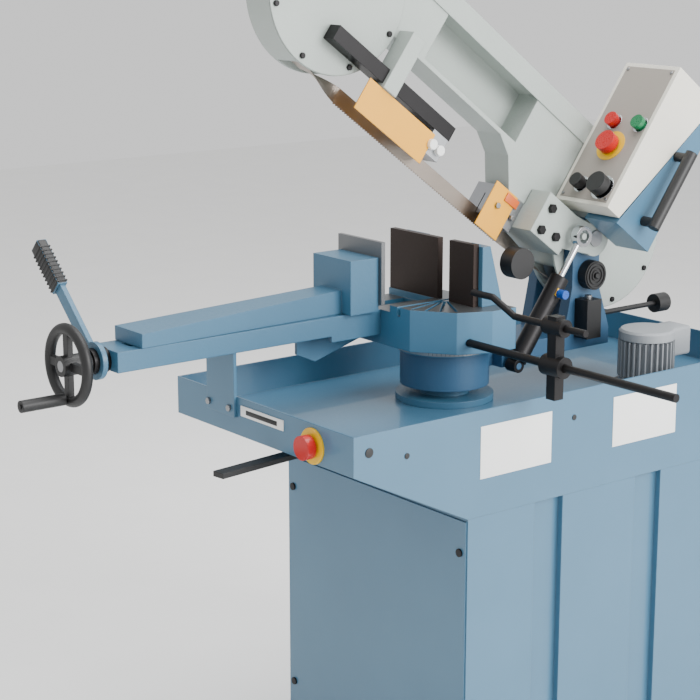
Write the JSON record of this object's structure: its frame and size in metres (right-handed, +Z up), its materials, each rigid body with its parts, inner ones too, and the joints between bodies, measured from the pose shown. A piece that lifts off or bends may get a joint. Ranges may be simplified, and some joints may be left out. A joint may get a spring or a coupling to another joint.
{
  "type": "mitre band saw",
  "caption": "Metal-cutting mitre band saw: tilting blade bow on a swivel arm, screw vise and chip tray on a folded sheet cabinet.",
  "frame": {"origin": "centre of the cabinet's footprint on the floor", "axes": "+Z up; the operator and vise handwheel are on the -Y side; +X is the side of the length stop"},
  "size_m": [0.8591, 1.3865, 1.592],
  "materials": {
    "aluminium": "die cast",
    "black_plastic": "moulded, fine texture",
    "blackened_steel": "oil blackened",
    "blade_steel": "bimetal band",
    "blue_paint": "gloss powder coat",
    "blue_plastic": "moulded",
    "brass": "turned",
    "casting_grey": "painted casting",
    "chrome": "hard chrome",
    "cream_paint": "fine textured paint",
    "dark_blue_paint": "powder coat",
    "green_plastic": "moulded",
    "grey_iron": "machined grey iron",
    "guard_yellow": "powder coat",
    "jaw_steel": "hot rolled, dark",
    "red_plastic": "moulded",
    "steel": "ground steel"
  },
  "bodies": {
    "base": {"cabinet_shell": "blue_paint", "front_panel": "blue_paint", "panel_screws": "blackened_steel", "chip_tray": "blue_paint", "coolant_tank": "blue_paint", "pump_body": "black_plastic", "pump_motor": "aluminium", "turntable_base": "blue_paint", "vise_table": "grey_iron", "vise_bed": "blue_paint", "bed_supports": "blue_paint", "fixed_jaw_plates": "jaw_steel", "jaw_bracket": "blue_paint", "screw_collar": "blackened_steel", "stop_rod": "blackened_steel"},
    "swivel_arm": {"swivel_arm": "dark_blue_paint", "pivot_bearings": "brass", "limit_switch": "black_plastic", "spring_drum": "black_plastic"},
    "bow": {"bow_frame": "casting_grey", "wheel_cover": "casting_grey", "hinge_casting": "casting_grey", "pivot_pins": "steel", "blade": "blade_steel", "gearbox": "cream_paint", "drive_motor": "aluminium", "control_box": "cream_paint", "rear_box": "blue_paint", "rear_handle": "black_plastic", "fixed_guide": "aluminium", "fixed_guard": "guard_yellow", "idler_block": "steel"},
    "jaw": {"movable_jaw": "blue_paint", "movable_jaw_plate": "grey_iron", "jaw_nut": "brass"},
    "handwheel": {"vise_screw": "steel", "handwheel": "black_plastic"},
    "crank_grip": {"crank_grip": "black_plastic"},
    "vise_lock": {"vise_lock_lever": "blue_paint"},
    "front_stop": {"front_stop_button": "red_plastic"},
    "stop_bracket": {"stop_bracket": "blackened_steel"},
    "stop_finger": {"stop_finger": "blackened_steel"},
    "swivel_lock": {"swivel_lock_lever": "black_plastic"},
    "bow_stop": {"bow_stop_knob": "black_plastic"},
    "cylinder": {"cylinder_barrel": "blackened_steel"},
    "cylinder_rod": {"cylinder_rod": "chrome"},
    "flow_valve": {"flow_valve": "blue_plastic"},
    "drive_wheel": {"drive_wheel": "grey_iron", "drive_shaft": "steel"},
    "idler_wheel": {"idler_wheel": "grey_iron"},
    "tension": {"tension_knob": "black_plastic"},
    "panel_stop": {"panel_stop_button": "red_plastic"},
    "start": {"start_button": "green_plastic"},
    "stop": {"stop_button": "red_plastic"},
    "main_switch": {"main_switch": "black_plastic"},
    "selector": {"selector_knob": "black_plastic"},
    "guide_arm": {"guide_bar": "blackened_steel", "moving_guide": "aluminium", "moving_guard": "guard_yellow"},
    "guide_knob": {"guide_knob": "black_plastic"}
  },
  "joints": [
    {"name": "arm_swivel", "type": "hinge", "parent": "base", "child": "swivel_arm", "pos_m": [-0.015, -0.205, 0.78], "axis": [0, 0, 1], "range_deg": [0, 60]},
    {"name": "bow_pivot", "type": "hinge", "parent": "swivel_arm", "child": "bow", "pos_m": [0, 0.086, 0.992], "axis": [-1, 0, 0], "range_deg": [-36.5, 6]},
    {"name": "handwheel_turn", "type": "hinge", "parent": "base", "child": "handwheel", "pos_m": [-0.105, -0.9165, 0.872], "axis": [0, 1, 0], "range_deg": [0, 6010]},
    {"name": "jaw_slide", "type": "slide", "parent": "base", "child": "jaw", "axis": [0, 1, 0], "range_m": [0, 0.1]},
    {"name": "crank_grip_spin", "type": "hinge", "parent": "handwheel", "child": "crank_grip", "pos_m": [-0.105, -0.9665, 0.818], "axis": [0, 1, 0], "continuous": true},
    {"name": "vise_lock_turn", "type": "hinge", "parent": "base", "child": "vise_lock", "pos_m": [-0.105, -0.862, 0.872], "axis": [0, 1, 0], "range_deg": [-40, 45]},
    {"name": "front_stop_press", "type": "slide", "parent": "base", "child": "front_stop", "axis": [0, 1, 0], "range_m": [0, 0.004]},
    {"name": "stop_bracket_slide", "type": "slide", "parent": "base", "child": "stop_bracket", "axis": [1, 0, 0], "range_m": [-0.06, 0.22]},
    {"name": "stop_finger_slide", "type": "slide", "parent": "stop_bracket", "child": "stop_finger", "axis": [1, 0, 0], "range_m": [-0.04, 0.065]},
    {"name": "swivel_lock_turn", "type": "hinge", "parent": "base", "child": "swivel_lock", "pos_m": [-0.015, -0.205, 0.69], "axis": [0, 0, 1], "range_deg": [-8, 20]},
    {"name": "bow_stop_turn", "type": "hinge", "parent": "swivel_arm", "child": "bow_stop", "pos_m": [0.031, 0.284, 0.84], "axis": [0, 1, 0], "range_deg": [-180, 180]},
    {"name": "cylinder_tilt", "type": "hinge", "parent": "swivel_arm", "child": "cylinder", "pos_m": [0.085, -0.128, 0.79], "axis": [1, 0, 0], "range_deg": [-6, 1.5]},
    {"name": "cylinder_stroke", "type": "slide", "parent": "cylinder", "child": "cylinder_rod", "axis": [0, 0.592, 0.8059], "range_m": [-0.028, 0.006]},
    {"name": "flow_valve_turn", "type": "hinge", "parent": "cylinder", "child": "flow_valve", "pos_m": [0.11, -0.0392, 0.91089], "axis": [1, 0, 0], "range_deg": [-180, 180]},
    {"name": "drive_wheel_spin", "type": "hinge", "parent": "bow", "child": "drive_wheel", "pos_m": [-0.015, 0.16344, 0.9857], "axis": [1, 0, 0], "continuous": true},
    {"name": "idler_wheel_spin", "type": "hinge", "parent": "bow", "child": "idler_wheel", "pos_m": [-0.015, -0.46678, 1.45204], "axis": [1, 0, 0], "continuous": true},
    {"name": "tension_turn", "type": "hinge", "parent": "bow", "child": "tension", "pos_m": [-0.059, -0.58736, 1.54126], "axis": [0, 0.8039, -0.5948], "range_deg": [-180, 180]},
    {"name": "panel_stop_press", "type": "slide", "parent": "bow", "child": "panel_stop", "axis": [0, 0.8039, -0.5948], "range_m": [0, 0.004]},
    {"name": "start_press", "type": "slide", "parent": "bow", "child": "start", "axis": [0, 0.8039, -0.5948], "range_m": [0, 0.003], "stiffness_N_per_m": 400},
    {"name": "stop_press", "type": "slide", "parent": "bow", "child": "stop", "axis": [0, 0.8039, -0.5948], "range_m": [0, 0.003], "stiffness_N_per_m": 400},
    {"name": "main_switch_turn", "type": "hinge", "parent": "bow", "child": "main_switch", "pos_m": [0.116, 0.04854, 1.09436], "axis": [0, 0.8039, -0.5948], "range_deg": [0, 90]},
    {"name": "selector_turn", "type": "hinge", "parent": "bow", "child": "selector", "pos_m": [0.063, 0.04854, 1.09436], "axis": [0, 0.8039, -0.5948], "range_deg": [-45, 45]},
    {"name": "guide_arm_slide", "type": "slide", "parent": "bow", "child": "guide_arm", "axis": [0, 0.8039, -0.5948], "range_m": [0, 0.11]},
    {"name": "guide_knob_turn", "type": "hinge", "parent": "bow", "child": "guide_knob", "pos_m": [0.05, -0.09303, 0.96524], "axis": [1, 0, 0], "range_deg": [-180, 180]}
  ],
  "couplings": [
    {"joint": "handwheel_turn", "follows": "jaw_slide", "rad_per_m": 1047.2},
    {"joint": "idler_wheel_spin", "follows": "drive_wheel_spin", "ratio": 1},
    {"joint": "cylinder_tilt", "follows": "bow_pivot", "ratio": 0.144},
    {"joint": "cylinder_stroke", "follows": "bow_pivot", "m_per_rad": 0.043}
  ]
}
